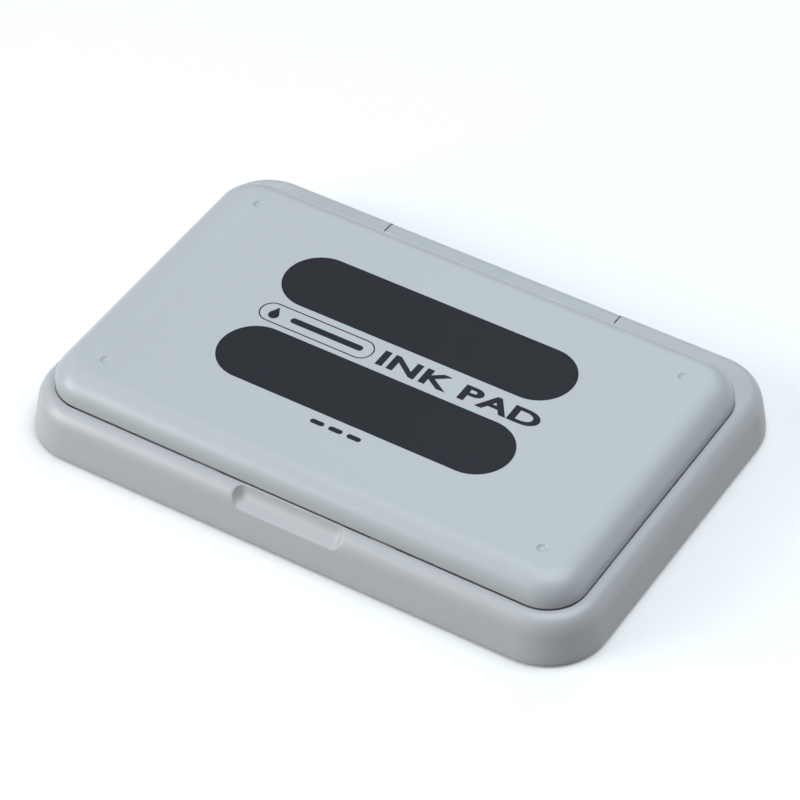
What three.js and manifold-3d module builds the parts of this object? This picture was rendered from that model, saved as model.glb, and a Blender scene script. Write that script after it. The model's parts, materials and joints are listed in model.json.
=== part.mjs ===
// Office stamp pad in a hinged plastic case, closed.
// Millimetres. Origin on the surface it stands on, under the middle of the case.
// +X runs along the long side, +Y towards the hinge, +Z up.

import * as THREE from 'three';
import { mergeVertices } from 'three/addons/utils/BufferGeometryUtils.js';
import Module from 'manifold-3d';

const wasm = await Module();
wasm.setup();

// ---- Driving dimensions -------------------------------------------------------------------

// Case, outside
const CASE_LENGTH = 142;
const CASE_DEPTH = 96.7;
const CASE_CORNER = 14.4;
const PIP_DROP = 0.5; // the stacking pips stand this far below the case
const EDGE_CHAMFER = 0.5; // round the lower edge
const WALL_HEIGHT = 7.2; // straight part of the outer wall, chamfer included
const WALL_DRAFT = 1; // how far that wall leans in by its top
const ROUND_IN = 3.6; // quarter-ellipse edge between the wall and the rim band, in
const ROUND_UP = 4.45; // quarter-ellipse edge, up
const BAND_RISE = 0.1; // the rim band climbs this much towards the lid
const RIM_FRONT = 4.86; // plan width of the rim on each side of the lid
const RIM_SIDE = 5.08;
const RIM_REAR = 10.25; // wide enough to house the hinge
const RIM_CORNER = 9.4; // corner radius of the rim's inner edge

// Case, inside
const OUTER_WALL = 1.8;
const WELL_WALL = 1.5;
const FLOOR = 1.6;
const LEDGE_WIDTH = 2.6; // the lid's lip drops into a channel this wide
const LEDGE_DEPTH = 1.9; // below the rim's inner edge
const CORE_ROOF = 1.7; // material between the channel and the hollow under the rim
const CORE_RIB = 1.2; // ribs across that hollow
const CORE_RIBS_X = 7; // ribs along each long side
const CORE_RIBS_Y = 4; // ribs along each short side

// Lid
const LID_EDGE_GAP = 0.1; // between the lid's outline and the rim's inner edge, in plan
const LID_LIFT = 0.3; // the shadow line under the lid's edge
const LID_SKIRT = 1.4; // upright stretch above the shadow line
const CROWN_RISE = 5.35; // quarter-ellipse shoulder, up
const CROWN_INSET = 5.85; // quarter-ellipse shoulder, in
const LID_WALL = 1.8;
const LIP_SETBACK = 0.9; // the locating lip stands back from the skirt
const LIP_FLOOR_GAP = 0.5; // between the lip and the channel's floor
const DIMPLE_RADIUS = 1.2;
const DIMPLE_DEPTH = 0.6;
const DIMPLE_FROM_SIDE = 11.1; // dimple centres, in from the lid's outline
const DIMPLE_FROM_END = 10.3;
const DIMPLE_TAPER = 0.75; // floor radius over mouth radius
const PIP_CLEARANCE = 0.25; // a pip is this much slimmer than the dimple it stacks in
const PIP_TAPER = 0.85; // tip radius over root radius

// Catch at the front
const CATCH_X = 22;
const CATCH_LENGTH = 6;
const CATCH_HEIGHT = 0.5;
const CATCH_NIB = 0.4; // stands out of the lip
const CATCH_SIDE_GAP = 0.15; // between the nib and the bump it clicks past
const CATCH_RISE_GAP = 0.2;
const CATCH_ROOT = 0.3; // each nib and bump runs this far into its wall

// Finger notch
const NOTCH_WIDTH = 27.6;
const NOTCH_DROP = 4.1; // lowest point below the rim's inner edge
const NOTCH_CORNER = 3;
const NOTCH_LAND = 0.3; // rim left between the notch and the lid
const NOTCH_END_LEAN = 0.55; // how much the ends lean in, against the back

// Hinge
const TONGUE_WIDTH = 59.4;
const TONGUE_SLIT = 0.4; // gap at each side of the lid's tongue
const TONGUE_FLARE = 0.6; // fillet where the tongue leaves the lid
const EAR_ROUND = 1.5; // rounds the case's corners beside it, so that the fillet swings clear
const BARREL_RADIUS = 2.75;
const BARREL_GAP = 0.3;
const BARREL_TOP = 2.7; // from the axis up to the rim band's level
const HINGE_SETBACK = 3.45; // axis, in from the case's rear
const NECK_GAP = 0.3; // under the tongue, over the channel's floor
const PIN_RADIUS = 0.8;
const PIN_LENGTH = 8.6;
const PIN_RUN_CLEARANCE = 0.07; // in the tongue
const PIN_PRESS_CLEARANCE = 0.03; // in the case
const EAR_LENGTH = 6; // solid material beside the slit

// Pad
const SEAT_GAP = 0.1; // between stacked pieces
const TRAY_FIT = 0.3; // tray to well
const TRAY_FLOOR = 1.1;
const TRAY_WALL = 1.2;
const RESERVOIR_THICK = 5.6;
const RESERVOIR_FIT = 0.25;
const FACE_FELT_THICK = 2.8;
const CLOTH_THICK = 0.8;
const CLOTH_FIT = 0.2; // between cloth and felt, and cloth and frame
const CLOTH_ROUND = 1.1;
const CLOTH_CROWN = 0.3;
const FRAME_RAIL = 4;
const FRAME_HEIGHT = 2.7;
const FRAME_EDGE = 0.5;

const CORNER_STEPS = 8; // facets round each quarter corner
const CROWN_STEPS = 8;
const ROUND_STEPS = 4;
const BORE_SIDES = 24;

// ---- Heights and outlines worked out from them --------------------------------------------

const UNDERSIDE = PIP_DROP;
const WALL_TOP = UNDERSIDE + WALL_HEIGHT;
const BAND_OUTER = WALL_TOP + ROUND_UP;
const RIM_TOP = BAND_OUTER + BAND_RISE;
const LEDGE = RIM_TOP - LEDGE_DEPTH;
const WELL_FLOOR = UNDERSIDE + FLOOR;
const LIP_BOTTOM = LEDGE + LIP_FLOOR_GAP;
const SKIRT_BOTTOM = RIM_TOP + LID_LIFT;
const SKIRT_TOP = SKIRT_BOTTOM + LID_SKIRT;
const LID_TOP = SKIRT_TOP + CROWN_RISE;

/** A rounded rectangle, symmetric in X: half width, front and rear Y, corner radius. */
const outline = (halfX, front, rear, radius) => ({ halfX, front, rear, radius });

/** The same rectangle moved in by one distance all round; negative moves it out. */
const inset = (o, d) => outline(o.halfX - d, o.front + d, o.rear - d, Math.max(o.radius - d, 0.4));

const CASE = outline(CASE_LENGTH / 2, -CASE_DEPTH / 2, CASE_DEPTH / 2, CASE_CORNER);
const RIM_EDGE = outline(CASE.halfX - RIM_SIDE, CASE.front + RIM_FRONT, CASE.rear - RIM_REAR, RIM_CORNER);
const WELL = inset(RIM_EDGE, LEDGE_WIDTH);
const LID = inset(RIM_EDGE, LID_EDGE_GAP);
const TRAY = inset(WELL, TRAY_FIT);
const PAD_WINDOW = inset(TRAY, FRAME_RAIL);

const HINGE_Y = CASE.rear - HINGE_SETBACK;
const HINGE_Z = BAND_OUTER - BARREL_TOP;
const SLOT_FLOOR = HINGE_Z - BARREL_RADIUS - BARREL_GAP;
const EAR_INNER = TONGUE_WIDTH / 2 + TONGUE_SLIT;

// ---- Solids -------------------------------------------------------------------------------

/** Plan points of a rounded rectangle, counter-clockwise, the same count for any size. */
function planPoints({ halfX, front, rear, radius }) {
  const corners = [
    [halfX - radius, front + radius, -90],
    [halfX - radius, rear - radius, 0],
    [radius - halfX, rear - radius, 90],
    [radius - halfX, front + radius, 180],
  ];
  return corners.flatMap(([x, y, start]) => {
    const from = THREE.MathUtils.degToRad(start);
    const arc = new THREE.EllipseCurve(x, y, radius, radius, from, from + Math.PI / 2);
    return arc.getPoints(CORNER_STEPS);
  });
}

/** A body skinned over level sections, each [outline, z]. Capped, or joined last to first. */
function skin(sections, joined = false) {
  const rings = sections.map(([shape, z]) => planPoints(shape).map((p) => [p.x, p.y, z]));
  const count = rings[0].length;
  const faces = [];
  for (let k = 0; k < rings.length - (joined ? 0 : 1); k += 1) {
    const low = k * count;
    const high = ((k + 1) % rings.length) * count;
    for (let i = 0; i < count; i += 1) {
      const j = (i + 1) % count;
      faces.push([low + i, low + j, high + j], [low + i, high + j, high + i]);
    }
  }
  if (!joined) {
    const last = (rings.length - 1) * count;
    const flat = (ring) => ring.map(([x, y]) => new THREE.Vector2(x, y));
    const cap = (ring) => THREE.ShapeUtils.triangulateShape(flat(ring), []);
    cap(rings[0]).forEach(([a, b, c]) => faces.push([a, c, b]));
    cap(rings.at(-1)).forEach(([a, b, c]) => faces.push([last + a, last + b, last + c]));
  }
  const geometry = new THREE.BufferGeometry();
  geometry.setAttribute('position', new THREE.Float32BufferAttribute(rings.flat(2), 3));
  geometry.setIndex(faces.flat());
  return solid(geometry);
}

/** A geometry as a solid that can be joined and cut. */
function solid(geometry) {
  const bare = geometry.clone();
  bare.deleteAttribute('normal');
  bare.deleteAttribute('uv');
  const welded = mergeVertices(bare, 1e-5);
  return new wasm.Manifold(new wasm.Mesh({
    numProp: 3,
    vertProperties: new Float32Array(welded.attributes.position.array),
    triVerts: new Uint32Array(welded.index.array),
  }));
}

/** A block between two corners. */
function block(low, high) {
  const size = high.map((value, i) => value - low[i]);
  const middle = high.map((value, i) => (value + low[i]) / 2);
  return solid(new THREE.BoxGeometry(...size).translate(...middle));
}

/** A rod along X, centred on the hinge line. */
function hingeRod(radius, from, to) {
  const rod = new THREE.CylinderGeometry(radius, radius, to - from, BORE_SIDES);
  return solid(rod.rotateZ(Math.PI / 2).translate((from + to) / 2, HINGE_Y, HINGE_Z));
}

/** A short upright cone or drum. */
function drum(lowRadius, highRadius, x, y, low, high) {
  const geometry = new THREE.CylinderGeometry(highRadius, lowRadius, high - low, BORE_SIDES);
  return solid(geometry.rotateX(Math.PI / 2).translate(x, y, (low + high) / 2));
}

/** A flat plan shape pulled up between two heights. */
function slab(shape, low, high) {
  const options = { depth: high - low, bevelEnabled: false, curveSegments: ROUND_STEPS };
  return solid(new THREE.ExtrudeGeometry(shape, options).translate(0, 0, low));
}

const join = (parts) => parts.reduce((whole, part) => whole.add(part));
const steps = (count) => Array.from({ length: count + 1 }, (_, i) => i / count);
const spread = (count, low, high) => steps(count - 1).map((t) => low + t * (high - low));

/** A finished sub-part. */
function piece(name, body, color, roughness, metalness = 0) {
  const { numProp, vertProperties, triVerts } = body.getMesh();
  const geometry = new THREE.BufferGeometry();
  geometry.setAttribute('position', new THREE.BufferAttribute(vertProperties, numProp));
  geometry.setIndex(new THREE.BufferAttribute(triVerts, 1));
  geometry.computeVertexNormals();
  const material = new THREE.MeshStandardMaterial({ color, roughness, metalness, flatShading: true });
  const mesh = new THREE.Mesh(geometry, material);
  mesh.name = name;
  return mesh;
}

// ---- Case ---------------------------------------------------------------------------------

/** Sections of the case's outside, from the lower edge up to the rim's inner edge. */
function caseOutside(back = 0) {
  const shell = inset(CASE, back);
  const round = steps(ROUND_STEPS).map((t) => {
    const turn = (t * Math.PI) / 2;
    const inward = WALL_DRAFT + ROUND_IN * (1 - Math.cos(turn));
    return [inset(shell, inward), WALL_TOP - back + ROUND_UP * Math.sin(turn)];
  });
  return [
    [inset(shell, EDGE_CHAMFER), UNDERSIDE],
    [shell, UNDERSIDE + EDGE_CHAMFER],
    ...round,
    [RIM_EDGE, RIM_TOP - back],
  ];
}

/** The hollow under the rim, open below, with ribs across it. */
function coreHollow() {
  const outer = inset(CASE, OUTER_WALL);
  const inner = inset(WELL, -WELL_WALL);
  const roof = LEDGE - CORE_ROOF;
  const below = UNDERSIDE - 1;
  const ring = skin([
    [inner, below],
    [inner, roof],
    [inset(outer, WALL_DRAFT), roof],
    [outer, below],
  ].reverse(), true);

  const { halfX, front, rear } = CASE;
  const ribsX = spread(CORE_RIBS_X, -halfX + CASE_CORNER, halfX - CASE_CORNER);
  const ribsY = spread(CORE_RIBS_Y, front + CASE_CORNER, rear - CASE_CORNER);
  const half = CORE_RIB / 2;
  const top = roof + 1;
  const kept = [
    ...ribsX.map((x) => block([x - half, front, below - 1], [x + half, rear, top])),
    ...ribsY.map((y) => block([-halfX, y - half, below - 1], [halfX, y + half, top])),
    block([-EAR_INNER - EAR_LENGTH, WELL.rear, SLOT_FLOOR - FLOOR], [EAR_INNER + EAR_LENGTH, rear, top]),
    block([-NOTCH_WIDTH / 2 - WELL_WALL, front, RIM_TOP - NOTCH_DROP - FLOOR],
      [NOTCH_WIDTH / 2 + WELL_WALL, WELL.front, top]),
  ];
  return ring.subtract(join(kept));
}

/** The scoop at the front: upright beside the lid, running out level through the wall. */
function fingerNotch() {
  const back = RIM_EDGE.front - NOTCH_LAND;
  const reach = back - CASE.front; // plan depth of the scoop
  const sections = steps(CROWN_STEPS).map((t) => {
    const turn = ((1 - t) * Math.PI) / 2;
    const inward = reach * (1 - Math.cos(turn));
    const halfX = NOTCH_WIDTH / 2 - NOTCH_END_LEAN * inward;
    const z = RIM_TOP - NOTCH_DROP * Math.sin(turn);
    return [outline(halfX, CASE.front - 3 * NOTCH_CORNER, back - inward, NOTCH_CORNER), z];
  });
  const [mouth] = sections.at(-1);
  return skin([...sections, [mouth, RIM_TOP + 1]]);
}

/** Plan of a straight tongue or slot, flared at its root by a fillet on each side. */
function flaredPlan({ half, flare, root, inner, outer }) {
  const plan = new THREE.Shape();
  plan.moveTo(-half - flare, inner);
  plan.lineTo(half + flare, inner);
  plan.lineTo(half + flare, root);
  plan.absarc(half + flare, root + flare, flare, -Math.PI / 2, -Math.PI, true);
  plan.lineTo(half, outer);
  plan.lineTo(-half, outer);
  plan.lineTo(-half, root + flare);
  plan.absarc(-half - flare, root + flare, flare, 0, -Math.PI / 2, true);
  return plan;
}

/** The gap in the rear rim that the tongue lies in. */
function hingeSlot() {
  const plan = flaredPlan({
    half: EAR_INNER,
    flare: EAR_ROUND,
    root: RIM_EDGE.rear,
    inner: RIM_EDGE.rear - BARREL_GAP,
    outer: CASE.rear + 1,
  });
  return slab(plan, SLOT_FLOOR, RIM_TOP + 1);
}

/** Bumps that the lid's catch nibs click past. */
function catchBumps() {
  const wall = RIM_EDGE.front;
  const reach = LID_EDGE_GAP + LIP_SETBACK - CATCH_NIB - CATCH_SIDE_GAP;
  const low = LIP_BOTTOM + CATCH_HEIGHT + CATCH_RISE_GAP;
  return join([-CATCH_X, CATCH_X].map((x) => block(
    [x - CATCH_LENGTH / 2, wall - CATCH_ROOT, low],
    [x + CATCH_LENGTH / 2, wall + reach, low + CATCH_HEIGHT],
  )));
}

function baseCase() {
  const tub = skin([
    ...caseOutside(),
    [RIM_EDGE, LEDGE],
    [inset(RIM_EDGE, LEDGE_WIDTH / 2), LEDGE],
    [WELL, LEDGE],
    [WELL, WELL_FLOOR],
  ]);
  const bores = [-1, 1].map((side) => {
    const ends = [side * (EAR_INNER - 1), side * (EAR_INNER + PIN_LENGTH / 2)].sort((a, b) => a - b);
    return hingeRod(PIN_RADIUS + PIN_PRESS_CLEARANCE, ...ends);
  });
  const pipRadius = DIMPLE_RADIUS - PIP_CLEARANCE;
  const pips = stackingSpots().map(([x, y]) => drum(
    pipRadius * PIP_TAPER, pipRadius, x, y, 0, UNDERSIDE + FLOOR / 2,
  ));
  return tub
    .subtract(coreHollow())
    .subtract(fingerNotch())
    .subtract(hingeSlot())
    .subtract(join(bores))
    .add(catchBumps())
    .add(join(pips));
}

/** Plan places of the stacking dimples and of the pips under them. */
function stackingSpots() {
  const side = LID.halfX - DIMPLE_FROM_SIDE;
  return [-side, side].flatMap((x) => [
    [x, LID.front + DIMPLE_FROM_END],
    [x, LID.rear - DIMPLE_FROM_END],
  ]);
}

// ---- Lid ----------------------------------------------------------------------------------

/** Sections up a quarter-ellipse shoulder. */
function shoulder(start, reach, rise) {
  return steps(CROWN_STEPS).map((t) => {
    const turn = (t * Math.PI) / 2;
    return [inset(start, reach * (1 - Math.cos(turn))), SKIRT_TOP + rise * Math.sin(turn)];
  });
}

/** Tongue and barrel, flush with the rim they lie in. */
function hingeTongue() {
  const half = TONGUE_WIDTH / 2;
  const neckPlan = flaredPlan({
    half, flare: TONGUE_FLARE, root: LID.rear, inner: LID.rear - LID_WALL, outer: HINGE_Y,
  });
  const neck = slab(neckPlan, LEDGE + NECK_GAP, RIM_TOP + 1);
  const barrel = hingeRod(BARREL_RADIUS, -half, half);
  const envelope = skin(caseOutside(LID_EDGE_GAP / 2));
  const web = block([-half, LID.rear - LID_WALL, LEDGE + NECK_GAP], [half, LID.rear, SKIRT_TOP]);
  const bores = [-1, 1].map((side) => {
    const ends = [side * (half + 1), side * (half - PIN_LENGTH / 2)].sort((a, b) => a - b);
    return hingeRod(PIN_RADIUS + PIN_RUN_CLEARANCE, ...ends);
  });
  return neck.add(barrel).intersect(envelope).add(web).subtract(join(bores));
}

function lidShell() {
  const lipOuter = inset(LID, LIP_SETBACK);
  const inside = inset(LID, LID_WALL);
  const ceiling = shoulder(inside, CROWN_INSET - LID_WALL, CROWN_RISE - LID_WALL).reverse();
  const shell = skin([
    ...ceiling,
    [inside, LIP_BOTTOM],
    [lipOuter, LIP_BOTTOM],
    [lipOuter, SKIRT_BOTTOM],
    [LID, SKIRT_BOTTOM],
    ...shoulder(LID, CROWN_INSET, CROWN_RISE),
  ]);
  const dimples = stackingSpots().map(([x, y]) => drum(
    DIMPLE_RADIUS * DIMPLE_TAPER, DIMPLE_RADIUS, x, y, LID_TOP - DIMPLE_DEPTH, LID_TOP,
  ));
  const nibs = [-CATCH_X, CATCH_X].map((x) => block(
    [x - CATCH_LENGTH / 2, lipOuter.front - CATCH_NIB, LIP_BOTTOM],
    [x + CATCH_LENGTH / 2, lipOuter.front + CATCH_ROOT, LIP_BOTTOM + CATCH_HEIGHT],
  ));
  return shell.add(hingeTongue()).add(join(nibs)).subtract(join(dimples));
}

// ---- Pad ----------------------------------------------------------------------------------

const TRAY_BOTTOM = WELL_FLOOR + SEAT_GAP;
const RESERVOIR_BOTTOM = TRAY_BOTTOM + TRAY_FLOOR + SEAT_GAP;
const RESERVOIR_TOP = RESERVOIR_BOTTOM + RESERVOIR_THICK;
const TRAY_TOP = RESERVOIR_TOP + SEAT_GAP;
const FRAME_BOTTOM = TRAY_TOP + SEAT_GAP;
const FRAME_TOP = FRAME_BOTTOM + FRAME_HEIGHT;
const FACE_FELT_BOTTOM = RESERVOIR_TOP + SEAT_GAP;
const FACE_FELT_TOP = FACE_FELT_BOTTOM + FACE_FELT_THICK;
const CLOTH = inset(PAD_WINDOW, CLOTH_FIT);
const CLOTH_EDGE_TOP = FACE_FELT_TOP + SEAT_GAP + CLOTH_THICK;
const CLOTH_CROWN_TOP = CLOTH_EDGE_TOP + CLOTH_CROWN;

function inkTray() {
  const cavity = inset(TRAY, TRAY_WALL);
  return skin([
    [TRAY, TRAY_BOTTOM],
    [TRAY, TRAY_TOP],
    [cavity, TRAY_TOP],
    [cavity, TRAY_BOTTOM + TRAY_FLOOR],
  ]);
}

function reservoirFelt() {
  const felt = inset(TRAY, TRAY_WALL + RESERVOIR_FIT);
  return skin([[felt, RESERVOIR_BOTTOM], [felt, RESERVOIR_TOP]]);
}

function faceFelt() {
  const felt = inset(CLOTH, CLOTH_THICK + CLOTH_FIT);
  return skin([[felt, FACE_FELT_BOTTOM], [felt, FACE_FELT_TOP]]);
}

/** Cloth drawn over the face felt: rounded at its edge and slightly crowned. */
function padCloth() {
  const inside = inset(CLOTH, CLOTH_THICK);
  const rounded = steps(ROUND_STEPS).map((t) => {
    const turn = (t * Math.PI) / 2;
    const inward = CLOTH_ROUND * (1 - Math.cos(turn));
    return [inset(CLOTH, inward), CLOTH_EDGE_TOP - CLOTH_ROUND * (1 - Math.sin(turn))];
  });
  return skin([
    [inside, FACE_FELT_TOP + SEAT_GAP],
    [inside, FACE_FELT_BOTTOM],
    [CLOTH, FACE_FELT_BOTTOM],
    ...rounded,
    [inset(CLOTH, 4 * CLOTH_ROUND), CLOTH_CROWN_TOP],
  ]);
}

/** Frame pressed over the cloth's edge, chamfered along its top. */
function padFrame() {
  return skin([
    [PAD_WINDOW, FRAME_BOTTOM],
    [TRAY, FRAME_BOTTOM],
    [TRAY, FRAME_TOP - FRAME_EDGE],
    [inset(TRAY, FRAME_EDGE), FRAME_TOP],
    [inset(PAD_WINDOW, -FRAME_EDGE), FRAME_TOP],
    [PAD_WINDOW, FRAME_TOP - FRAME_EDGE],
  ], true);
}

/** Pin bridging one slit, half in the case and half in the tongue. */
function hingePin(side) {
  const middle = side * (TONGUE_WIDTH / 2 + TONGUE_SLIT / 2);
  const half = PIN_LENGTH / 2 - TONGUE_SLIT;
  return hingeRod(PIN_RADIUS, middle - half, middle + half);
}

// ---- Assembly -----------------------------------------------------------------------------

const CASE_GREY = 0xb4b7bd;
const LID_GREY = 0xbfc7cf;
const STEEL = 0xb8bbc0;
const INNER_GREY = 0x8f949a;
const FELT = 0xd9d6cc;
const INKED = 0x15161a;

const inkPad = new THREE.Group();
inkPad.name = 'ink_pad';

const base = new THREE.Group();
base.add(
  piece('base_case', baseCase(), CASE_GREY, 0.38),
  piece('ink_tray', inkTray(), INNER_GREY, 0.45),
  piece('reservoir_felt', reservoirFelt(), FELT, 0.95),
  piece('face_felt', faceFelt(), INKED, 0.95),
  piece('pad_cloth', padCloth(), INKED, 0.85),
  piece('pad_frame', padFrame(), INNER_GREY, 0.42),
  piece('hinge_pin_left', hingePin(-1), STEEL, 0.3, 1),
  piece('hinge_pin_right', hingePin(1), STEEL, 0.3, 1),
);

const lid = new THREE.Group();
lid.add(piece('lid_shell', lidShell(), LID_GREY, 0.34));

inkPad.add(base, lid);

export default inkPad;
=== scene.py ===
"""Closed office ink pad: a rounded plastic case with a domed, hinged lid and an inked cloth pad.

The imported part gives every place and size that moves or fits. This script builds the fine surfaces
around it: the moulded case and lid, the print on the lid, the pad with its cloth and felts, and the
hinge pins. Plan sizes are in millimetres until a mesh is made, and every mesh is in metres.
"""

from __future__ import annotations

import json
import logging
import math
from dataclasses import dataclass
from enum import Enum

import bpy
import numpy as np
from mathutils import Matrix, Vector


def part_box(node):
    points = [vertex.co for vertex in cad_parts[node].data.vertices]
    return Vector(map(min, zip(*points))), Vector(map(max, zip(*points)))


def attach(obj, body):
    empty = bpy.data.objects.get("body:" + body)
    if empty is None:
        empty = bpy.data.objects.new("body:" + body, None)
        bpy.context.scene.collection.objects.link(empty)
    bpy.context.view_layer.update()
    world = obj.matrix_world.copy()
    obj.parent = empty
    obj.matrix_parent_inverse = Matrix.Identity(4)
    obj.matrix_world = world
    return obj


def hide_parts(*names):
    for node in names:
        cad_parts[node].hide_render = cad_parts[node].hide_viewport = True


LOG = logging.getLogger("ink_pad")
MM = 0.001


# ---- Plan outlines and profiles -----------------------------------------------------------------


@dataclass(frozen=True)
class Outline:
    """A rounded rectangle in plan, symmetric about the YZ plane, in millimetres."""

    half_x: float
    front: float
    rear: float
    radius: float

    def inset(self, distance: float) -> "Outline":
        """The same rectangle moved in by a distance all round; a negative one moves it out."""
        radius = max(self.radius - distance, 0.3)
        return Outline(self.half_x - distance, self.front + distance, self.rear - distance, radius)

    def at(self, z: float) -> np.ndarray:
        """This outline at a height, as one profile station: half width, front, rear, radius, z."""
        return np.array([self.half_x, self.front, self.rear, self.radius, z])


@dataclass(frozen=True)
class Columns:
    """Where a skin has its upright columns: round the corners and along the straight sides."""

    corner_steps: int = 20
    front_x: tuple[float, ...] = ()
    rear_x: tuple[float, ...] = ()
    side_y: tuple[float, ...] = ()

    def ring(self, station: np.ndarray) -> np.ndarray:
        """The points of one level ring, counter-clockwise from above.

        Args:
            station: Half width, front, rear, corner radius and height.

        Returns:
            An array of points, one row each.
        """
        half_x, front, rear, radius, z = station
        right, low, high = half_x - radius, front + radius, rear - radius
        runs = [
            (right, low, -0.5 * math.pi, [(half_x, y) for y in self.side_y]),
            (right, high, 0.0, [(x, rear) for x in reversed(self.rear_x)]),
            (-right, high, 0.5 * math.pi, [(-half_x, y) for y in reversed(self.side_y)]),
            (-right, low, math.pi, [(x, front) for x in self.front_x]),
        ]
        points: list[tuple[float, float, float]] = []
        for centre_x, centre_y, start, straight in runs:
            for turn in np.linspace(start, start + 0.5 * math.pi, self.corner_steps + 1):
                points.append((centre_x + radius * math.cos(turn), centre_y + radius * math.sin(turn), z))
            points.extend((x, y, z) for x, y in straight)
        return np.array(points)


def softened(stations: list[np.ndarray], radii: list[float], steps: int = 5) -> list[np.ndarray]:
    """Rounds the corners of a profile.

    Args:
        stations: The profile's corners, in order.
        radii: How far each corner's curve reaches along its neighbours; 0 keeps it sharp.
        steps: Facets in each curve.

    Returns:
        The profile with a short curve in place of each rounded corner.
    """
    made = [stations[0]]
    for index in range(1, len(stations) - 1):
        corner, reach = stations[index], radii[index]
        back, ahead = stations[index - 1] - corner, stations[index + 1] - corner
        back_length, ahead_length = math.hypot(back[1], back[4]), math.hypot(ahead[1], ahead[4])
        reach = min(reach, 0.45 * back_length, 0.45 * ahead_length)
        if reach <= 0:
            made.append(corner)
            continue
        start, end = corner + back * reach / back_length, corner + ahead * reach / ahead_length
        for t in np.linspace(0, 1, steps + 1):
            made.append((1 - t) ** 2 * start + 2 * t * (1 - t) * corner + t**2 * end)
    made.append(stations[-1])
    return made


def between(first: np.ndarray, last: np.ndarray, count: int) -> list[np.ndarray]:
    """Evenly spaced stations strictly between two others."""
    return [first + (last - first) * t for t in np.linspace(0, 1, count + 2)[1:-1]]


# ---- Mesh work ----------------------------------------------------------------------------------


def object_from(name: str, points: np.ndarray, faces: list[tuple[int, ...]]) -> bpy.types.Object:
    """Makes a linked mesh object from points in millimetres.

    Args:
        name: The object's name.
        points: Vertex places, one row each.
        faces: Vertex indices of each face.

    Returns:
        The new object, in metres.
    """
    mesh = bpy.data.meshes.new(name)
    mesh.from_pydata((points * MM).tolist(), [], faces)
    mesh.validate()
    made = bpy.data.objects.new(name, mesh)
    bpy.context.scene.collection.objects.link(made)
    return made


def skin(name: str, rings: list[np.ndarray], joined: bool = False) -> bpy.types.Object:
    """Skins level rings into a closed body.

    Args:
        name: The object's name.
        rings: Rings of points with the same count each, first to last.
        joined: True to run the last ring back into the first instead of capping both.

    Returns:
        The body.
    """
    count = len(rings[0])
    faces: list[tuple[int, ...]] = []
    for k in range(len(rings) if joined else len(rings) - 1):
        low, high = k * count, (k + 1) % len(rings) * count
        for i in range(count):
            j = (i + 1) % count
            faces.append((low + i, low + j, high + j, high + i))
    if not joined:
        last = (len(rings) - 1) * count
        faces.append(tuple(reversed(range(count))))
        faces.append(tuple(last + i for i in range(count)))
    return object_from(name, np.vstack(rings), faces)


def prism(name: str, plan: list[tuple[float, float]], low: float, high: float) -> bpy.types.Object:
    """Pulls a plan polygon, counter-clockwise, up between two heights."""
    return skin(name, [np.array([(x, y, z) for x, y in plan]) for z in (low, high)])


def block(name: str, low: tuple[float, float, float], high: tuple[float, float, float]) -> bpy.types.Object:
    """A plain block between two corners, used to cut with."""
    plan = [(low[0], low[1]), (high[0], low[1]), (high[0], high[1]), (low[0], high[1])]
    return prism(name, plan, low[2], high[2])


def turned(name: str, profile: list[tuple[float, float]], sides: int = 40) -> bpy.types.Object:
    """Turns a profile about Z.

    Args:
        name: The object's name.
        profile: Radius and height of each ring, from the bottom up; the ends are capped.
        sides: Facets round the turn.

    Returns:
        The turned body, standing on the origin.
    """
    turns = np.linspace(0, 2 * math.pi, sides, endpoint=False)
    return skin(name, [
        np.array([(radius * math.cos(a), radius * math.sin(a), z) for a in turns])
        for radius, z in profile
    ])


def place(piece: bpy.types.Object, matrix: Matrix) -> bpy.types.Object:
    """Moves a piece's mesh by a matrix whose lengths are in metres."""
    piece.data.transform(matrix)
    return piece


def shape(target: bpy.types.Object, tool: bpy.types.Object, operation: "Cut") -> bpy.types.Object:
    """Cuts or joins one body with another and removes the tool.

    Args:
        target: The body that is kept.
        tool: The body that shapes it.
        operation: What to do.

    Returns:
        The target, with its new mesh.
    """
    modifier = target.modifiers.new("shape", "BOOLEAN")
    modifier.operation = operation.value
    modifier.solver = "EXACT"
    modifier.object = tool
    graph = bpy.context.evaluated_depsgraph_get()
    fresh = bpy.data.meshes.new_from_object(target.evaluated_get(graph))
    old = target.data
    target.modifiers.clear()
    target.data = fresh
    bpy.data.meshes.remove(old)
    bpy.data.objects.remove(tool)
    fresh.name = target.name
    return target


class Cut(Enum):
    """What a tool does to the body it shapes."""

    AWAY = "DIFFERENCE"
    JOIN = "UNION"
    COMMON = "INTERSECT"


def smooth(piece: bpy.types.Object, crease: float = 32.0) -> bpy.types.Object:
    """Shades a piece smooth, with edges sharper than an angle in degrees kept crisp."""
    piece.data.shade_smooth()
    piece.data.set_sharp_from_angle(angle=math.radians(crease))
    return piece


def seat(
    piece: bpy.types.Object, body: str, finish: "Finish", nodes: tuple[str, ...] = ()
) -> bpy.types.Object:
    """Dresses a piece in its finish and has it ride on its body.

    Args:
        piece: The finished mesh.
        body: The moving body that it belongs to.
        finish: The finish it wears.
        nodes: The plain solids that it stands for.

    Returns:
        The piece.
    """
    piece.data.materials.clear()
    piece.data.materials.append(finish.material())
    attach(piece, body)
    if nodes:
        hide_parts(*nodes)
    LOG.info("%s: %d faces on %s", piece.name, len(piece.data.polygons), body)
    return piece


# ---- Shader groups ------------------------------------------------------------------------------


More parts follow.
